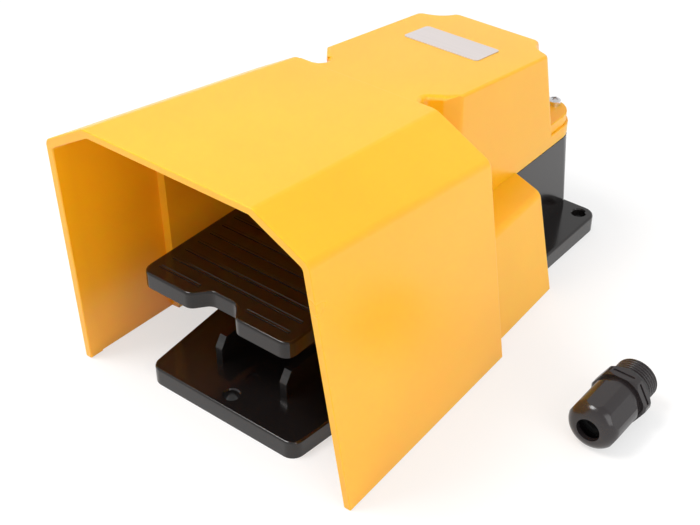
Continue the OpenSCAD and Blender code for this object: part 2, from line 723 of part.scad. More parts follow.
module switch_plunger() {
  color("#8a1f1f")
  translate([0, push_y, 0]) union() {
    translate([0, 0, push_low]) cylinder(d = plunger_d, h = blade_z - seat - push_low);
    translate([0, 0, sw_z + sw_wall + 0.4]) cylinder(d = plunger_d + 2.6, h = 1.2);
  }
}

module contact_blade() {
  color("goldenrod")
  union() {
    translate([-4, blade_y - 2, blade_z]) cube([8, contact_y + 2.6 - blade_y + 2, 0.6]);
    translate([0, contact_y, blade_z - 1]) cylinder(r = contact_r, h = 2.6);
  }
}

module common_terminal() {
  color("goldenrod")
  difference() {
    translate([-strip_w / 2, sw_front - 10, blade_z - strip_t - seat]) cube([strip_w, 17, strip_t]);
    translate([0, sw_front - 5, blade_z - 5]) cylinder(d = screw_d, h = 10);
  }
}

module open_terminal() {
  color("goldenrod")
  difference() {
    union() {
      translate([-strip_w / 2, contact_y - 2.4, open_z]) cube([strip_w, riser_y + strip_t - contact_y + 2.4, strip_t]);
      translate([0, contact_y - 0.2, open_z - 1]) cylinder(r = contact_r, h = 1.4);
      translate([-strip_w / 2, riser_y, open_z]) cube([strip_w, strip_t, tab_z + strip_t - open_z]);
      translate([-strip_w / 2, riser_y - 10, tab_z]) cube([strip_w, 10 + strip_t, strip_t]);
    }
    translate([0, riser_y - 5.5, tab_z - 2]) cylinder(d = screw_d, h = 10);
  }
}

module closed_terminal() {
  color("goldenrod")
  difference() {
    union() {
      translate([-strip_w / 2, contact_y - 3, closed_z]) cube([strip_w, sw_rear + 10 - contact_y + 3, strip_t]);
      translate([0, contact_y, closed_z]) cylinder(r = contact_r, h = blade_z - 1 - seat - closed_z);
    }
    translate([0, sw_rear + 5, closed_z - 3]) cylinder(d = screw_d, h = 10);
  }
}

module pan_screw(d, len, head_d, head_h) {
  difference() {
    union() {
      translate([0, 0, -len]) cylinder(d = d, h = len + 0.5);
      intersection() {
        cylinder(d = head_d, h = head_h);
        translate([0, 0, head_h - head_d * 0.9]) sphere(r = head_d * 0.9);
      }
    }
    for (a = [0, 90]) rotate([0, 0, a]) translate([-head_d * 0.3, -0.45, head_h - 1.2]) cube([head_d * 0.6, 0.9, 3]);
  }
}

module terminal_screws() {
  color("silver") {
    translate([0, sw_front - 5, blade_z - seat + 0.05]) pan_screw(screw_d - 0.06, 4, 7, 2.4);
    translate([0, riser_y - 5.5, tab_z + strip_t + 0.05]) pan_screw(screw_d - 0.06, 2.4, 7, 2.4);
    translate([0, sw_rear + 5, closed_z + strip_t + 0.05]) pan_screw(screw_d - 0.06, 4, 7, 2.4);
  }
}

module switch_screws() {
  color("silver")
  for (y = sw_hole_y) translate([sw_x0 - 0.05, y, sw_hole_z]) rotate([0, -90, 0])
    pan_screw(screw_d - 0.06, sw_w + bracket_t + 4.5, 7, 2.6);
}

module switch_nuts() {
  color("silver")
  for (y = sw_hole_y) translate([bracket_x + bracket_t + 0.05, y, sw_hole_z]) rotate([0, 90, 0]) hex_nut(7, 3.2, screw_d);
}

module switch_bracket() {
  color("lightgray")
  difference() {
    union() {
      translate([bracket_x, sw_hole_y[0] - 6, pivot_z + 8]) cube([bracket_t, 37.4, sw_hole_z + 5 - pivot_z - 8]);
      translate([bracket_x, bracket_foot_y[0] - 5, pad_z + 0.05]) cube([bracket_t, 25, sw_hole_z + 5 - pad_z]);
      translate([bracket_x, bracket_foot_y[0] - 5, pad_z + 0.05]) cube([13, 25, bracket_t]);
    }
    for (y = sw_hole_y) translate([0, y, sw_hole_z]) rotate([0, 90, 0]) cylinder(d = sw_hole_d, h = 40);
    for (y = bracket_foot_y) translate([bracket_foot_x, y, pad_z - 2]) cylinder(d = screw_d + 0.4, h = 8);
  }
}

module bracket_screws() {
  color("silver")
  for (y = bracket_foot_y) translate([bracket_foot_x, y, pad_z + bracket_t + 0.1]) pan_screw(screw_d - 0.06, 6.5, 7, 2.6);
}

module earth_screw() {
  color("limegreen")
  translate([earth_x, earth_y, pad_z + 0.5]) pan_screw(screw_d - 0.06, 5, 8, 2.6);
}

module cover_screws() {
  color("silver")
  cover_screw_places() translate([0, 0, ledge_z + 0.05]) pan_screw(screw_d - 0.06, ledge_z - house_h + 12, 6.4, 3.4);
}

module label_plate() {
  y = pivot_y + 16.5;
  color("gainsboro")
  translate([-1.75, y, roof_z(y)]) rotate([-roof_slope, 0, 0]) translate([0, 0, 0.02])
    linear_extrude(0.4) polygon(rounded([[20.75, -10], [20.75, 10], [-20.75, 10], [-20.75, -10]], 1.8, 4));
}

// ---------- cable gland ----------

module gland_place() {
  translate([gland_x, gland_y, gland_hex / 2]) rotate([90, 0, 0]) children();
}

// The hexagon lies on one of its flats; each flat has a long shallow slot.
module gland_hexagon() {
  h = gland_collar_z - gland_hex_z;
  r = gland_hex * 0.55;
  difference() {
    intersection() {
      cylinder(d = gland_hex / cos(30), h = h, $fn = 6);
      rotate_extrude() polygon([[0, 0], [r - 0.9, 0], [r, 0.9], [r, h - 0.9], [r - 0.9, h], [0, h]]);
    }
    for (a = [30 : 60 : 330]) rotate([0, 0, a]) translate([gland_hex / 2 - 0.5, 0, h / 2]) {
      translate([0, -4.4, -0.7]) cube([2, 8.8, 1.4]);
      for (y = [-4.4, 4.4]) translate([0, y, 0]) rotate([0, 90, 0]) cylinder(r = 0.7, h = 2, $fn = 24);
    }
  }
}

module gland_body() {
  color("#2c2a2a")
  gland_place() difference() {
    union() {
      cylinder(d = gland_thread_d, h = gland_thread_l);
      cylinder(d = gland_thread_d - 1.8, h = gland_hex_z + 1);
      translate([0, 0, gland_hex_z]) gland_hexagon();
      translate([0, 0, gland_collar_z - 0.1]) cylinder(d = gland_nut_d - 2.2, h = gland_nut_z - gland_collar_z);
      translate([0, 0, gland_collar_z]) cylinder(d = gland_neck_d, h = 16);
    }
    translate([0, 0, -1]) cylinder(d = gland_seal_d - 2.4, h = 30);
    translate([0, 0, gland_seal_z - 0.05]) cylinder(d = gland_seal_d + 0.2, h = 30);
  }
}

module gland_nut() {
  color("#2c2a2a")
  gland_place() difference() {
    intersection() {
      union() {
        translate([0, 0, gland_nut_z]) cylinder(d = gland_nut_d, h = gland_dome_z - gland_nut_z);
        translate([0, 0, gland_nut_z]) cylinder(d = gland_nut_d - 2 * gland_dome_r, h = gland_dome_z + gland_dome_r - gland_nut_z);
        translate([0, 0, gland_dome_z]) rotate_extrude()
          translate([gland_nut_d / 2 - gland_dome_r, 0]) circle(r = gland_dome_r);
      }
      rotate([0, 0, 5]) cylinder(d = (gland_nut_d - 1.2) / cos(30), h = 60, $fn = 6);
    }
    translate([0, 0, gland_nut_z - 1]) cylinder(d = gland_neck_d + 0.2, h = gland_dome_z - gland_nut_z);
    translate([0, 0, gland_dome_z - 1.1]) cylinder(d1 = gland_neck_d + 0.2, d2 = gland_bore, h = 4.5);
    translate([0, 0, gland_dome_z]) cylinder(d = gland_bore, h = 20);
  }
}

module gland_seal() {
  color("#151515")
  gland_place() translate([0, 0, gland_seal_z]) difference() {
    cylinder(d = gland_seal_d, h = gland_seal_l);
    translate([0, 0, -1]) cylinder(d = gland_seal_bore, h = gland_seal_l + 2);
  }
}

module gland_washer() {
  color("#151515")
  gland_place() translate([0, 0, gland_thread_l + 0.15]) difference() {
    cylinder(d = gland_thread_d + 2.6, h = gland_hex_z - gland_thread_l - 0.2);
    translate([0, 0, -1]) cylinder(d = gland_thread_d - 1.7, h = 5);
  }
}

base_housing();
hood_cover();
cover_gasket();
cover_screws();
label_plate();
pedal();
pivot_shaft();
shaft_clips();
shaft_bushes();
shaft_seals();
cam_lever();
lever_pin();
adjusting_screw();
adjusting_nut();
return_spring();
rest_buffer();
switch_bracket();
bracket_screws();
switch_case();
switch_lid();
switch_plunger();
contact_blade();
common_terminal();
open_terminal();
closed_terminal();
terminal_screws();
switch_screws();
switch_nuts();
earth_screw();
gland_body();
gland_nut();
gland_seal();
gland_washer();
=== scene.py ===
"""Industrial foot switch: finishes, fine detail, stage, light and camera round its frame."""

import json
import math

import bpy
from bpy.props import FloatProperty, FloatVectorProperty, IntProperty, PointerProperty
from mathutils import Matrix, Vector

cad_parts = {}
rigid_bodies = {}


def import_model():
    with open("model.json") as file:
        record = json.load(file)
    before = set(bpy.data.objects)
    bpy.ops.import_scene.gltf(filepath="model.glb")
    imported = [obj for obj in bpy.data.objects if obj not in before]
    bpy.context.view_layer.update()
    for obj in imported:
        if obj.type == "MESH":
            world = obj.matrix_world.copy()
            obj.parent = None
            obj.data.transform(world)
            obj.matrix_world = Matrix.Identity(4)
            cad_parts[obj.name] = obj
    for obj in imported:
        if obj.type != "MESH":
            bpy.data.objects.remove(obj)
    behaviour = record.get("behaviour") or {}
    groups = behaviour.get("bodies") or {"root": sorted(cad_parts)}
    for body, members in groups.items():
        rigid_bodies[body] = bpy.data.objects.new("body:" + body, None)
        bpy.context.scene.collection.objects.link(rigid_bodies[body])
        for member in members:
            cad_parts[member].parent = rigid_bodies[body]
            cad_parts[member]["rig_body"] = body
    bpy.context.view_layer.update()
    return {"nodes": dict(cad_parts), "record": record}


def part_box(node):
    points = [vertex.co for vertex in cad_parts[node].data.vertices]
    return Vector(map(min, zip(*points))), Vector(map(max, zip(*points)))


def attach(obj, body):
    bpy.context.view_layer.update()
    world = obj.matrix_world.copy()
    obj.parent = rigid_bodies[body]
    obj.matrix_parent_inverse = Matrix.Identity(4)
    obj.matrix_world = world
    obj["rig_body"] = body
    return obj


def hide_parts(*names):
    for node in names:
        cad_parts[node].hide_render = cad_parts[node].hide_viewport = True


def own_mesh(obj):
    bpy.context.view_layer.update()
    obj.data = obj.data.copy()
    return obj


bl_info = {
    "name": "Foot Switch Finisher",
    "version": (1, 0, 0),
    "blender": (4, 5, 0),
    "location": "View3D > Sidebar > Foot Switch",
    "description": "Gives a guarded foot switch its moulded, plated and rubber finishes",
    "category": "Object",
}

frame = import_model()
NODES = frame["nodes"]
MM = 0.001


# ---------- fixed sizes ----------

WELD = 2e-6  # metres; corners closer than this become one
SAME_HEIGHT = 1e-5  # metres; heights closer than this count as one
FLAT_TURN = 0.6  # degrees; faces that turn less than this become one flat face
CREASE = 38  # degrees; edges that turn less than this are part of a curve

SIDE_FACE = 0.3  # a face is a side when its normal rises less than this
TOP_FACE = 0.9  # and a top when its normal rises more than this

# the roof's two notches beside the cover: distance from the middle, length, lowest height
NOTCH_X = (26 * MM, 36.1 * MM)
NOTCH_Y = (-123.7 * MM, -105 * MM)
NOTCH_Z = 119 * MM
NOTCH_WALL = 0.05  # rise of the normal of a notch's upright wall, at most
ROOF_NORMAL = Vector((0, 0.13, 0.99))
ROOF_MATCH = 0.99

FRAME_RIB_HEIGHT = 0.8 * MM  # the frame's plain grip ribs
RIB_SEGMENTS = 2
PLATE_SIDE_DROP = 0.1 * MM  # the plate's sides lie lower than its top by more than this
CHANNEL_SHARE = 0.8  # depth of a rib's channel, as a share of its height

LABEL_THICKNESS = 1 * MM  # at most
LABEL_CORNER_RISE = 0.3  # a corner edge rises more than this share of its length
LABEL_SEGMENTS = 6

GROOVE_OUTSIDE = 0.3 * MM  # the thread tool's back stands this far outside the thread
GROOVE_HALF_WIDTH = 0.48  # share of the pitch
GROOVE_STEPS = 40  # for each turn
GROOVE_WELD = 1e-7  # metres

FLOOR_SIZE = 30
FLOOR_STEPS = 12
FLOOR_EVEN = (0.45, 1.1)  # metres from the middle over which the floor becomes plain white
LEVEL_RISE = (0, 0.9)  # height on the room's dome over which its light grows
BACKDROP_RISE = (0.1, 0.9)  # height over which the backdrop turns into the ceiling

KEY_PLACE, KEY_TARGET, KEY_SIZE = (-0.35, -0.55, 1.0), (0, -0.12, 0.05), 0.42
SIDE_PLACE, SIDE_TARGET, SIDE_SIZE = (0.95, -0.35, 0.55), (0.03, -0.12, 0.06), 0.8

CAMERA_PLACE = (0.3027, -0.5160, 0.3908)
CAMERA_TURN = (53.68, 0, 38.39)  # degrees
CAMERA_LENS = 66.83  # millimetres
CAMERA_SENSOR = 36  # millimetres


# ---------- fixed colours ----------

ZINC = (0.74, 0.74, 0.76)
PRESSED_STEEL = (0.62, 0.62, 0.63)
GROUND_STEEL = (0.60, 0.60, 0.60)
SPRING_STEEL = (0.42, 0.42, 0.43)
CLIP_STEEL = (0.36, 0.36, 0.37)
BRASS = (0.80, 0.58, 0.24)
FOIL_DARK = (0.60, 0.545, 0.53)
FOIL_LIGHT = (0.64, 0.585, 0.57)
BUSH_NYLON = (0.72, 0.70, 0.62)
PHENOLIC = (0.035, 0.02, 0.014)
PLUNGER_RED = (0.28, 0.02, 0.015)
RUBBER_BLACK = (0.018, 0.018, 0.018)


# ---------- settings ----------


class FinishSettings(bpy.types.PropertyGroup):
    """Colours and gloss of the mouldings"""

    cover_colour: FloatVectorProperty(
        name="Cover colour", description="Moulded colour of the guard and cover",
        subtype="COLOR", size=3, min=0, max=1, default=(0.93, 0.44, 0.006))
    cover_roughness: FloatProperty(
        name="Cover roughness", description="Gloss of the cover's skin",
        subtype="FACTOR", min=0, max=1, default=0.3)
    base_colour: FloatVectorProperty(
        name="Base colour", description="Moulded colour of the base and its housing",
        subtype="COLOR", size=3, min=0, max=1, default=(0.0095, 0.0078, 0.0076))
    pedal_colour: FloatVectorProperty(
        name="Pedal colour", description="Moulded colour of the pedal",
        subtype="COLOR", size=3, min=0, max=1, default=(0.0085, 0.0060, 0.0052))
    gland_colour: FloatVectorProperty(
        name="Gland colour", description="Moulded colour of the cable gland",
        subtype="COLOR", size=3, min=0, max=1, default=(0.017, 0.0135, 0.0142))


class DetailSettings(bpy.types.PropertyGroup):
    """Roundings and small shapes that are added to the frame's pieces"""

    pedal_edge: FloatProperty(
        name="Pedal edge", description="Rounding along the top of the pedal plate",
        subtype="DISTANCE", unit="LENGTH", min=0, max=0.003, default=0.0013)
    notch_edge: FloatProperty(
        name="Notch edge", description="Rounding of the roof round its two notches",
        subtype="DISTANCE", unit="LENGTH", min=0, max=0.003, default=0.0022)
    rib_height: FloatProperty(
        name="Rib height", description="How far the pedal's grip ribs stand up",
        subtype="DISTANCE", unit="LENGTH", min=0.0002, max=0.0008, default=0.00035)
    rib_rim: FloatProperty(
        name="Rib rim", description="Width of the rim round each grip rib's channel",
        subtype="DISTANCE", unit="LENGTH", min=0.0002, max=0.0006, default=0.00035)
    rib_edge: FloatProperty(
        name="Rib edge", description="Rounding of the pedal's grip ribs",
        subtype="DISTANCE", unit="LENGTH", min=0, max=0.0003, default=0.0001)
    thread_pitch: FloatProperty(
        name="Thread pitch", description="Pitch of the gland's connection thread",
        subtype="DISTANCE", unit="LENGTH", min=0.001, max=0.003, default=0.0015)
    thread_depth: FloatProperty(
        name="Thread depth", description="Depth of the gland's connection thread",
        subtype="DISTANCE", unit="LENGTH", min=0.0003, max=0.0015, default=0.0009)
    label_corner: FloatProperty(
        name="Label corner", description="Rounding of the label's corners",
        subtype="DISTANCE", unit="LENGTH", min=0, max=0.004, default=0.003)
    segments: IntProperty(
        name="Edge segments", description="Steps on the roof's and the pedal plate's roundings",
        min=2, max=8, default=4)


class StageSettings(bpy.types.PropertyGroup):
    """Floor, room and lamps"""

    floor_colour: FloatVectorProperty(
        name="Floor colour", description="Colour of the seamless floor",
        subtype="COLOR", size=3, min=0, max=1, default=(0.96, 0.96, 0.96))
    ambient: FloatProperty(
        name="Ambient", description="Level of the room's light from overhead",
        min=0, max=2, default=0.92)
    ambient_low: FloatProperty(
        name="Low ambient", description="Level of the room's light from the horizon",
        min=0, max=2, default=0.3)
    ceiling: FloatProperty(
        name="Ceiling", description="Level of the room's ceiling as gloss shows it",
        min=0, max=1, default=0.7)
    floor_evenness: FloatProperty(
        name="Floor evenness",
        description="How much of the floor near the switch is plain white under its shadow",
        subtype="FACTOR", min=0, max=1, default=0.6)
    key_power: FloatProperty(
        name="Key light", description="Power of the large soft light overhead",
        subtype="POWER", unit="POWER", min=0, max=100, default=7.6)
    side_power: FloatProperty(
        name="Side light", description="Power of the soft light on the guard's side",
        subtype="POWER", unit="POWER", min=0, max=100, default=4.2)


# ---------- shader building ----------


class Socket:
    """A shader value that can be used in Python sums; each operator adds its Math node."""

    def __init__(self, paint, socket):
        self.paint = paint
        self.socket = socket

    def _math(self, operation, first, second):
        return self.paint.add("ShaderNodeMath", {"operation": operation},
                              {0: first, 1: second})[0]

    def __add__(self, other):
        return self._math("ADD", self, other)

    def __radd__(self, other):
        return self._math("ADD", other, self)

    def __sub__(self, other):
        return self._math("SUBTRACT", self, other)

    def __rsub__(self, other):
        return self._math("SUBTRACT", other, self)

    def __mul__(self, other):
        return self._math("MULTIPLY", self, other)

    def __rmul__(self, other):
        return self._math("MULTIPLY", other, self)


class Outputs:
    """A node's outputs, by name or number, each as a Socket."""

    def __init__(self, paint, node):
        self.paint = paint
        self.node = node

    def __getitem__(self, key):
        return Socket(self.paint, self.node.outputs[key])


class Paint:
    """A material under construction."""

    def __init__(self, name):
        self.material = bpy.data.materials.new(name)
        self.material.use_nodes = True
        self.tree = self.material.node_tree
        self.shader = self.tree.nodes["Principled BSDF"]
        self.place = self.add("ShaderNodeTexCoord")["Object"]

    @classmethod
    def on_tree(cls, tree):
        """The same tools on a tree that is there already, such as the world's."""
        paint = cls.__new__(cls)
        paint.tree = tree
        return paint

    def add(self, kind, settings=None, inputs=None):
        """Adds a node, sets it up, fills its inputs with values or links, returns its outputs."""
        node = self.tree.nodes.new(kind)
        for key, value in (settings or {}).items():
            setattr(node, key, value)
        for key, value in (inputs or {}).items():
            self.fill(node.inputs[key], value)
        return Outputs(self, node)

    def fill(self, socket, value):
        """Links a Socket, or sets a number, a vector or a colour."""
        if isinstance(value, Socket):
            self.tree.links.new(value.socket, socket)
        elif socket.type == "RGBA":
            socket.default_value = (*value, 1)
        else:
            socket.default_value = value

    def set(self, **inputs):
        """Fills the shader's own sockets; an underscore in a name stands for a space."""
        for key, value in inputs.items():
            self.fill(self.shader.inputs[key.replace("_", " ")], value)
        return self

    def mix(self, share, first, second):
        """Blends two colours."""
        return self.add("ShaderNodeMix", {"data_type": "RGBA"}, {0: share, 6: first, 7: second})[2]

    def noise(self, scale, detail=3, roughness=0.5, stretch=None):
        """Noise in the frame's space; a stretch below 1 draws it out along that axis."""
        place = self.place
        if stretch:
            place = self.add("ShaderNodeMapping", None,
                             {"Vector": place, "Scale": stretch})["Vector"]
        return self.add("ShaderNodeTexNoise", None, {
            "Vector": place, "Scale": scale, "Detail": detail, "Roughness": roughness})["Fac"]

    def range(self, value, low, high, to_low, to_high):
        """Carries a value from one range to another, held at its ends."""
        return self.add("ShaderNodeMapRange", {"clamp": True},
                        {0: value, 1: low, 2: high, 3: to_low, 4: to_high})[0]

    def share(self, value, low, high):
        """0 where the value is low, 1 where it is high."""
        return self.range(value, low, high, 0, 1)

    def bump(self, height, distance):
        """Lets a height, in units of this distance, tilt the surface."""
        self.set(Normal=self.add("ShaderNodeBump", None, {
            "Height": height, "Distance": distance, "Strength": 1.0})["Normal"])


def shade(colour, factor):
    """The colour made lighter or darker."""
    return tuple(min(1, c * factor) for c in colour)


def background_rays(paint):
    """1 for rays that look at the background or mirror it, 0 for those that light the object."""
    path = paint.add("ShaderNodeLightPath")
    total = path["Is Camera Ray"] + path["Is Glossy Ray"] + path["Is Transmission Ray"]
    return paint.add("ShaderNodeMath", {"operation": "MINIMUM"}, {0: total, 1: 1.0})[0]


# ---------- finishes ----------


def moulded(name, colour, roughness, peel=0.02 * MM, grain=0.0, spread=0.06):
    """Injection-moulded plastic: slow colour drift, flow marks in the gloss, fine skin."""
    p = Paint(name)
    drift = p.noise(9)
    flow = p.noise(14, detail=4, stretch=(1, 0.25, 1))
    specks = p.share(p.noise(420, detail=2), 0.70, 0.78)
    tone = p.mix(p.share(drift, 0.3, 0.7), shade(colour, 1 - spread), shade(colour, 1 + spread))
    p.set(Base_Color=p.mix(specks * 0.12, tone, shade(colour, 1.5)),
          Roughness=p.range(flow, 0.25, 0.75, roughness * 0.85, roughness * 1.2) + specks * 0.05)
    skin = drift * 0.6 + p.noise(160, detail=2) * 0.4
    if grain:
        skin = skin + p.noise(900, detail=2) * grain
    p.bump(skin, distance=peel)
    return p


def cover_plastic(colour, roughness):
    """Gloss yellow plastic that carries a little light through its wall."""
    p = moulded("cover_gloss_yellow", colour, roughness, peel=0.03 * MM)
    p.set(Subsurface_Weight=0.4, Subsurface_Radius=(1.0, 0.22, 0.01), Subsurface_Scale=6 * MM)
    return p.material


def base_plastic(colour):
    """Polished black plastic with slow drift, fine specks and faint scuffs."""
    p = Paint("base_black")
    drift = p.noise(11)
    scuffs = p.share(p.noise(60, detail=5, roughness=0.6, stretch=(1, 6, 1)), 0.62, 0.72)
    specks = p.share(p.noise(520, detail=2), 0.72, 0.78)
    tone = p.mix(p.share(drift, 0.3, 0.7), shade(colour, 0.8), shade(colour, 1.35))
    p.set(Base_Color=p.mix(specks * 0.5 + scuffs * 0.2, tone, shade(colour, 4)),
          Roughness=p.range(p.noise(16, detail=4), 0.3, 0.7, 0.1, 0.17) + scuffs * 0.06)
    p.bump(p.noise(140, detail=2) * 0.5 + drift, distance=0.03 * MM)
    return p.material


def pedal_plastic(colour):
    """The pedal's black plastic, a little less bright in its gloss than the base's."""
    return moulded("pedal_black", colour, roughness=0.13).set(IOR=1.45).material


def rubber(name, colour):
    """Dull rubber with a trace of dust."""
    p = Paint(name)
    dust = p.noise(260, detail=4)
    p.set(Base_Color=p.mix(p.share(dust, 0.45, 0.75), colour, shade(colour, 1.8)),
          Roughness=p.range(dust, 0.3, 0.7, 0.55, 0.75))
    p.bump(p.noise(2200, detail=2), distance=0.02 * MM)
    return p.material


def plated(name, colour, roughness, brushed=(1, 1, 1)):
    """Plated or drawn metal with fine tool marks and small dull spots."""
    p = Paint(name)
    marks = p.noise(700, roughness=0.6, stretch=brushed)
    spots = p.share(p.noise(180), 0.55, 0.75)
    p.set(Base_Color=p.mix(spots * 0.4, colour, shade(colour, 0.7)), Metallic=1.0,
          Roughness=p.range(marks, 0.3, 0.7, roughness * 0.7, roughness * 1.3) + spots * 0.1)
    p.bump(marks, distance=0.01 * MM)
    return p.material


def label_foil():
    """Bare silver foil, finely brushed along its length."""
    p = Paint("label_foil")
    brush = p.noise(500, roughness=0.6, stretch=(0.05, 1, 1))
    p.set(Base_Color=p.mix(p.share(brush, 0.3, 0.7), FOIL_DARK, FOIL_LIGHT), Metallic=0.25,
          Roughness=p.range(brush, 0.3, 0.7, 0.36, 0.46))
    p.bump(brush, distance=0.006 * MM)
    return p.material


# ---------- modelling helpers ----------


def pick(*objects):
    """Only these objects are selected, the first one active."""
    if bpy.context.object and bpy.context.object.mode != "OBJECT":
        bpy.ops.object.mode_set(mode="OBJECT")
    bpy.ops.object.select_all(action="DESELECT")
    for each in objects:
        each.select_set(True)
    bpy.context.view_layer.objects.active = objects[0]


def finish_with(obj, material):
    """The material covers the whole object."""
    obj.data.materials.clear()
    obj.data.materials.append(material)
    for face in obj.data.polygons:
        face.material_index = 0


def smoothed(obj, angle=CREASE):
    """Smooth curves and roundings, with the large faces kept flat between them."""
    pick(obj)
    bpy.ops.object.shade_smooth_by_angle(angle=math.radians(angle))
    even = obj.modifiers.new("even_normals", "WEIGHTED_NORMAL")
    even.keep_sharp = True
    bpy.ops.object.modifier_apply(modifier="even_normals")
    return obj


def merged_copy(node, name, angle=CREASE):
    """A welded copy of a frame node with its flat faces joined and its curves smooth."""
    source = NODES[node]
    copy = source.copy()
    copy.data = source.data.copy()
    copy.name = copy.data.name = name
    bpy.context.scene.collection.objects.link(copy)
    copy.parent = None
    pick(copy)
    bpy.ops.object.mode_set(mode="EDIT")
    bpy.ops.mesh.select_all(action="SELECT")
    bpy.ops.mesh.remove_doubles(threshold=WELD)
    bpy.ops.mesh.dissolve_limited(angle_limit=math.radians(FLAT_TURN))
    bpy.ops.object.mode_set(mode="OBJECT")
    bpy.ops.mesh.customdata_custom_splitnormals_clear()
    return smoothed(copy, angle)


def stand_in(copy, node, material):
    """Puts a finished copy in its node's place."""
    finish_with(copy, material)
    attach(copy, NODES[node]["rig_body"])
    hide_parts(node)
    return copy


def select_none(mesh):
    """Nothing in the mesh is selected."""
    for part in (mesh.vertices, mesh.edges, mesh.polygons):
        for each in part:
            each.select = False


def round_edges(obj, width, segments, test, clamp=True):
    """Rounds the edges that pass the test, which is given their two ends and their faces."""
    mesh = obj.data
    faces = {}
    for face in mesh.polygons:
        for key in face.edge_keys:
            faces.setdefault(key, []).append(face)
    select_none(mesh)
    for edge in mesh.edges:
        a, b = (mesh.vertices[i].co for i in edge.vertices)
        edge.select = bool(test(a, b, faces.get(edge.key, [])))
    if not any(edge.select for edge in mesh.edges):
        raise RuntimeError("no edges to round on " + obj.name)
    pick(obj)
    bpy.ops.object.mode_set(mode="EDIT")
    bpy.ops.mesh.select_mode(type="EDGE")
    bpy.ops.mesh.bevel(offset=width, segments=segments, clamp_overlap=clamp)
    bpy.ops.object.mode_set(mode="OBJECT")


# ---------- operators ----------


class FOOTSWITCH_OT_stage(bpy.types.Operator):
    """Lays the pale floor and sets the room's light, the soft lamps and the camera"""

    bl_idname = "footswitch.stage"
    bl_label = "Stage"

    def floor(self, settings):
        """A wide floor that keeps the switch's shadow and turns plain white further out."""
        bpy.ops.mesh.primitive_grid_add(x_subdivisions=FLOOR_STEPS, y_subdivisions=FLOOR_STEPS,
                                        size=FLOOR_SIZE, location=(0, 0, 0))
        floor = bpy.context.object
        floor.name = "floor"
        p = Paint("floor_paper")
        colour = tuple(settings.floor_colour)
        p.set(Base_Color=p.mix(p.noise(3, detail=2), shade(colour, 0.995), colour), Roughness=0.9)
        white = p.add("ShaderNodeEmission", None,
                      {"Color": (1, 1, 1), "Strength": 1.0})["Emission"]
        distance = p.add("ShaderNodeVectorMath", {"operation": "LENGTH"}, {0: p.place})["Value"]
        even = p.range(distance, *FLOOR_EVEN, settings.floor_evenness, 1.0)
        blend = p.add("ShaderNodeMixShader", None, {
            0: background_rays(p) * even, 1: Socket(p, p.shader.outputs[0]), 2: white})[0]
        p.fill(p.tree.nodes["Material Output"].inputs["Surface"], blend)
        finish_with(floor, p.material)

    def room(self, context, settings):
        """Soft light from all round, brightest overhead, with a pale backdrop to look at."""
        world = bpy.data.worlds.new("soft_room")
        world.use_nodes = True
        context.scene.world = world
        room = Paint.on_tree(world.node_tree)
        direction = room.add("ShaderNodeTexCoord")["Generated"]
        up = room.add("ShaderNodeSeparateXYZ", None, {0: direction})["Z"]
        level = room.range(up, *LEVEL_RISE, settings.ambient_low, settings.ambient)
        backdrop = room.range(up, *BACKDROP_RISE, 1.0, settings.ceiling)
        seen = background_rays(room)
        background = world.node_tree.nodes["Background"]
        room.fill(background.inputs["Color"], (1, 1, 1))
        room.fill(background.inputs["Strength"], seen * backdrop + (1 - seen) * level)

    def lamp(self, name, place, target, size, power):
        """A square soft lamp, aimed at a point."""
        bpy.ops.object.light_add(type="AREA", location=place)
        lamp = bpy.context.object
        lamp.name = lamp.data.name = name
        aim = Vector(target) - Vector(place)
        lamp.rotation_euler = aim.to_track_quat("-Z", "Y").to_euler()
        lamp.data.shape = "RECTANGLE"
        lamp.data.size = lamp.data.size_y = size
        lamp.data.energy = power

    def camera(self, context):
        """The camera looks down at the switch from its front right."""
        bpy.ops.object.camera_add(location=CAMERA_PLACE,
                                  rotation=[math.radians(turn) for turn in CAMERA_TURN])
        camera = bpy.context.object
        camera.name = "camera"
        camera.data.lens = CAMERA_LENS
        camera.data.sensor_width = CAMERA_SENSOR
        context.scene.camera = camera

    def execute(self, context):
        settings = context.scene.footswitch_stage
        self.floor(settings)
        self.room(context, settings)
        self.lamp("key_softbox", KEY_PLACE, KEY_TARGET, KEY_SIZE, settings.key_power)
        self.lamp("side_softbox", SIDE_PLACE, SIDE_TARGET, SIDE_SIZE, settings.side_power)
        self.camera(context)
        context.scene.view_settings.view_transform = "Standard"
        return {"FINISHED"}


class FOOTSWITCH_OT_cover(bpy.types.Operator):
    """Rounds the roof's notches and gives the guard and cover their gloss yellow plastic"""

    bl_idname = "footswitch.cover"
    bl_label = "Guard and Cover"

    def execute(self, context):
        finish, detail = context.scene.footswitch_finish, context.scene.footswitch_detail
        cover = merged_copy("hood_cover", "guard_cover")

        def at_notch(point):
            return (NOTCH_X[0] < abs(point.x) < NOTCH_X[1]
                    and NOTCH_Y[0] < point.y < NOTCH_Y[1] and point.z > NOTCH_Z)

        def notch_rim(a, b, faces):
            return (len(faces) == 2 and at_notch(a) and at_notch(b)
                    and any(f.normal.dot(ROOF_NORMAL) > ROOF_MATCH for f in faces)
                    and any(abs(f.normal.z) < NOTCH_WALL for f in faces))

        round_edges(cover, detail.notch_edge, detail.segments, notch_rim, clamp=False)
        stand_in(smoothed(cover), "hood_cover",
                 cover_plastic(finish.cover_colour, finish.cover_roughness))
        return {"FINISHED"}


class FOOTSWITCH_OT_base(bpy.types.Operator):
    """Smooths the base and its housing and gives them their black plastic"""

    bl_idname = "footswitch.base"
    bl_label = "Base and Housing"

    def execute(self, context):
        finish = context.scene.footswitch_finish
        stand_in(merged_copy("base_housing", "base_with_housing"), "base_housing",
                 base_plastic(finish.base_colour))
        return {"FINISHED"}


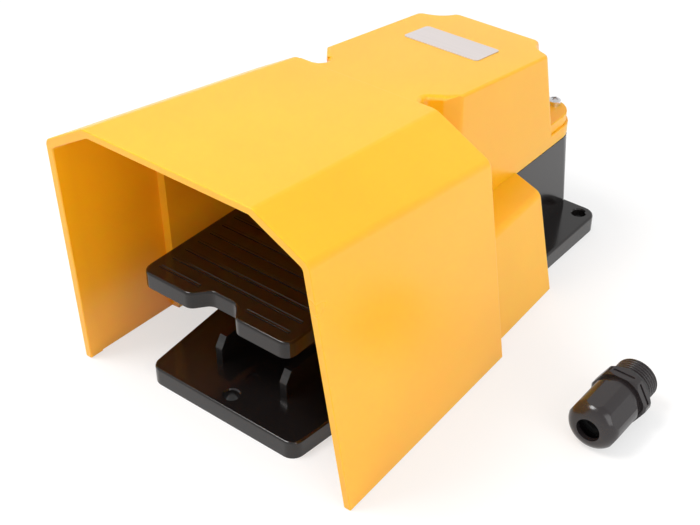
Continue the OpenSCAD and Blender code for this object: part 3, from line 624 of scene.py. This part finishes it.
class FOOTSWITCH_OT_pedal(bpy.types.Operator):
    """Shapes the pedal's grip ribs, rounds its plate and gives it its black plastic"""

    bl_idname = "footswitch.pedal"
    bl_label = "Pedal"

    def execute(self, context):
        finish, detail = context.scene.footswitch_finish, context.scene.footswitch_detail
        pedal = merged_copy("pedal", "pedal_ribbed")
        frame_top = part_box("pedal")[1].z
        plate_top = frame_top - FRAME_RIB_HEIGHT
        rib_top = plate_top + detail.rib_height

        # the ribs stand low on the plate, each with a shallow channel along its top
        pick(pedal)
        select_none(pedal.data)
        for face in pedal.data.polygons:
            face.select = face.center.z > frame_top - SAME_HEIGHT and face.normal.z > TOP_FACE
        bpy.ops.object.mode_set(mode="EDIT")
        bpy.ops.mesh.select_mode(type="FACE")
        bpy.ops.transform.translate(value=(0, 0, rib_top - frame_top))
        bpy.ops.mesh.inset(thickness=detail.rib_rim, use_even_offset=True)
        bpy.ops.transform.translate(value=(0, 0, -CHANNEL_SHARE * detail.rib_height))
        bpy.ops.object.mode_set(mode="OBJECT")

        def level(a, b, height):
            return abs(a.z - height) < SAME_HEIGHT and abs(b.z - height) < SAME_HEIGHT

        def plate_rim(a, b, faces):
            return level(a, b, plate_top) and any(
                abs(f.normal.z) < SIDE_FACE and f.center.z < plate_top - PLATE_SIDE_DROP
                for f in faces)

        def rib_rim(a, b, faces):
            return level(a, b, rib_top) and any(abs(f.normal.z) < SIDE_FACE for f in faces)

        round_edges(pedal, detail.pedal_edge, detail.segments, plate_rim)
        round_edges(pedal, detail.rib_edge, RIB_SEGMENTS, rib_rim)
        stand_in(smoothed(pedal), "pedal", pedal_plastic(finish.pedal_colour))
        return {"FINISHED"}


class FOOTSWITCH_OT_label(bpy.types.Operator):
    """Rounds the bare label's corners and gives it its silver foil"""

    bl_idname = "footswitch.label"
    bl_label = "Label"

    def execute(self, context):
        detail = context.scene.footswitch_detail
        label = merged_copy("label_plate", "label_foil_plate")

        def corner(a, b, faces):
            length = (a - b).length
            return length < LABEL_THICKNESS and abs(a.z - b.z) > LABEL_CORNER_RISE * length

        round_edges(label, detail.label_corner, LABEL_SEGMENTS, corner)
        stand_in(smoothed(label), "label_plate", label_foil())
        return {"FINISHED"}


class FOOTSWITCH_OT_fasteners(bpy.types.Operator):
    """Gives the screws, nuts, bracket and lever their plated finishes"""

    bl_idname = "footswitch.fasteners"
    bl_label = "Fasteners and Bracket"

    def execute(self, context):
        zinc = plated("zinc_plated", ZINC, roughness=0.22)
        for node in ("cover_screws", "terminal_screws", "switch_screws", "switch_nuts",
                     "bracket_screws", "earth_screw", "adjusting_screw", "adjusting_nut"):
            finish_with(NODES[node], zinc)
        pressed = plated("pressed_steel", PRESSED_STEEL, roughness=0.34, brushed=(1, 1, 0.1))
        for node in ("switch_bracket", "cam_lever"):
            finish_with(NODES[node], pressed)
        return {"FINISHED"}


class FOOTSWITCH_OT_shaft(bpy.types.Operator):
    """Gives the shaft, its clips and the lever's pin their steel and the bushes their nylon"""

    bl_idname = "footswitch.shaft"
    bl_label = "Shaft"

    def execute(self, context):
        ground = plated("ground_steel", GROUND_STEEL, roughness=0.18, brushed=(0.1, 1, 1))
        for node in ("pivot_shaft", "lever_pin"):
            finish_with(NODES[node], ground)
        finish_with(NODES["shaft_clips"], plated("clip_steel", CLIP_STEEL, roughness=0.28))
        nylon = moulded("bush_nylon", BUSH_NYLON, roughness=0.4)
        finish_with(NODES["shaft_bushes"], nylon.material)
        return {"FINISHED"}


class FOOTSWITCH_OT_spring(bpy.types.Operator):
    """Gives the return spring its steel on a mesh of its own"""

    bl_idname = "footswitch.spring"
    bl_label = "Return Spring"

    def execute(self, context):
        spring = stand_in(merged_copy("return_spring", "return_coil", angle=50), "return_spring",
                          plated("spring_steel", SPRING_STEEL, roughness=0.3))
        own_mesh(spring)
        return {"FINISHED"}


class FOOTSWITCH_OT_snap_switch(bpy.types.Operator):
    """Gives the snap switch its phenolic case, red plunger and brass contacts"""

    bl_idname = "footswitch.snap_switch"
    bl_label = "Snap Switch"

    def execute(self, context):
        case = moulded("switch_phenolic", PHENOLIC, roughness=0.45, peel=0.03 * MM, grain=0.3,
                       spread=0.2)
        for node in ("switch_case", "switch_lid"):
            finish_with(NODES[node], case.material)
        red = moulded("plunger_red", PLUNGER_RED, roughness=0.35)
        finish_with(NODES["switch_plunger"], red.material)
        brass = plated("contact_brass", BRASS, roughness=0.28)
        for node in ("contact_blade", "common_terminal", "open_terminal", "closed_terminal"):
            finish_with(NODES[node], brass)
        return {"FINISHED"}


class FOOTSWITCH_OT_rubbers(bpy.types.Operator):
    """Gives the gasket, seals, washer and buffer their dull black rubber"""

    bl_idname = "footswitch.rubbers"
    bl_label = "Gasket and Seals"

    def execute(self, context):
        black = rubber("rubber_black", RUBBER_BLACK)
        for node in ("cover_gasket", "shaft_seals", "rest_buffer", "gland_seal", "gland_washer"):
            finish_with(NODES[node], black)
        return {"FINISHED"}


class FOOTSWITCH_OT_gland(bpy.types.Operator):
    """Cuts the gland's connection thread and gives body and nut their moulded finish"""

    bl_idname = "footswitch.gland"
    bl_label = "Cable Gland"

    def thread_tool(self, centre, radius, length, pitch, depth):
        """A closed helical solid, the shape of the thread's groove, round an axis along Y."""
        bpy.ops.mesh.primitive_circle_add(vertices=3, radius=depth, fill_type="NOTHING",
                                          location=(0, 0, 0))
        tool = bpy.context.object
        tool.name = "thread_tool"
        # the groove's section, with its point towards the axis
        half = GROOVE_HALF_WIDTH * pitch
        section = (-depth, 0), (GROOVE_OUTSIDE, half), (GROOVE_OUTSIDE, -half)
        for vertex, (out, along) in zip(tool.data.vertices, section):
            vertex.co = (radius + out, 0, along)
        turns = int(length / pitch) + 1
        screw = tool.modifiers.new("turns", "SCREW")
        screw.axis = "Z"
        screw.angle = math.radians(360) * turns
        screw.screw_offset = pitch * turns
        screw.iterations = 1
        screw.steps = screw.render_steps = GROOVE_STEPS * turns
        bpy.ops.object.modifier_apply(modifier="turns")
        bpy.ops.object.mode_set(mode="EDIT")
        bpy.ops.mesh.select_all(action="SELECT")
        bpy.ops.mesh.remove_doubles(threshold=GROOVE_WELD)
        bpy.ops.mesh.select_all(action="DESELECT")
        bpy.ops.mesh.select_non_manifold()
        bpy.ops.mesh.edge_face_add()
        bpy.ops.mesh.select_all(action="SELECT")
        bpy.ops.mesh.normals_make_consistent(inside=False)
        bpy.ops.object.mode_set(mode="OBJECT")
        tool.rotation_euler = (math.radians(90), 0, 0)
        tool.location = (centre.x, centre.y + length / 2 + pitch / 2, centre.z)
        bpy.ops.object.transform_apply(location=True, rotation=True, scale=True)
        return tool

    def execute(self, context):
        finish, detail = context.scene.footswitch_finish, context.scene.footswitch_detail
        nylon = moulded("gland_nylon", finish.gland_colour, roughness=0.2, peel=0.03 * MM,
                        grain=0.2, spread=0.1).material
        body = merged_copy("gland_body", "gland_threaded_body", angle=32)
        mount = next(m for m in frame["record"]["mounts"] if m["name"] == "gland_thread")
        tool = self.thread_tool(Vector(mount["pos_m"]), mount["dims"]["r_mm"] * MM,
                                mount["dims"]["length_mm"] * MM, detail.thread_pitch,
                                detail.thread_depth)
        cut = body.modifiers.new("thread", "BOOLEAN")
        cut.object = tool
        cut.operation = "DIFFERENCE"
        cut.solver = "EXACT"
        pick(body)
        bpy.ops.object.modifier_apply(modifier="thread")
        bpy.data.objects.remove(tool)
        stand_in(smoothed(body, angle=30), "gland_body", nylon)
        nut = merged_copy("gland_nut", "gland_clamping_nut", angle=16)
        stand_in(nut, "gland_nut", nylon)
        return {"FINISHED"}


# ---------- panel ----------

STEPS = ("stage", "cover", "base", "pedal", "label", "fasteners", "shaft", "spring",
         "snap_switch", "rubbers", "gland")


class FOOTSWITCH_PT_panel(bpy.types.Panel):
    """Lists the foot switch's sizes, colours and steps"""

    bl_label = "Foot Switch"
    bl_idname = "FOOTSWITCH_PT_panel"
    bl_space_type = "VIEW_3D"
    bl_region_type = "UI"
    bl_category = "Foot Switch"

    def draw(self, context):
        layout = self.layout
        for group in (context.scene.footswitch_finish, context.scene.footswitch_detail,
                      context.scene.footswitch_stage):
            box = layout.box()
            for name in group.__annotations__:
                box.prop(group, name)
        for step in STEPS:
            layout.operator("footswitch." + step)


CLASSES = (
    FinishSettings, DetailSettings, StageSettings, FOOTSWITCH_OT_stage, FOOTSWITCH_OT_cover,
    FOOTSWITCH_OT_base, FOOTSWITCH_OT_pedal, FOOTSWITCH_OT_label, FOOTSWITCH_OT_fasteners,
    FOOTSWITCH_OT_shaft, FOOTSWITCH_OT_spring, FOOTSWITCH_OT_snap_switch,
    FOOTSWITCH_OT_rubbers, FOOTSWITCH_OT_gland, FOOTSWITCH_PT_panel,
)


def register():
    for each in CLASSES:
        bpy.utils.register_class(each)
    bpy.types.Scene.footswitch_finish = PointerProperty(type=FinishSettings)
    bpy.types.Scene.footswitch_detail = PointerProperty(type=DetailSettings)
    bpy.types.Scene.footswitch_stage = PointerProperty(type=StageSettings)


def unregister():
    del bpy.types.Scene.footswitch_stage
    del bpy.types.Scene.footswitch_detail
    del bpy.types.Scene.footswitch_finish
    for each in reversed(CLASSES):
        bpy.utils.unregister_class(each)


def main():
    register()
    for step in STEPS:
        getattr(bpy.ops.footswitch, step)()


if __name__ == "__main__":
    main()
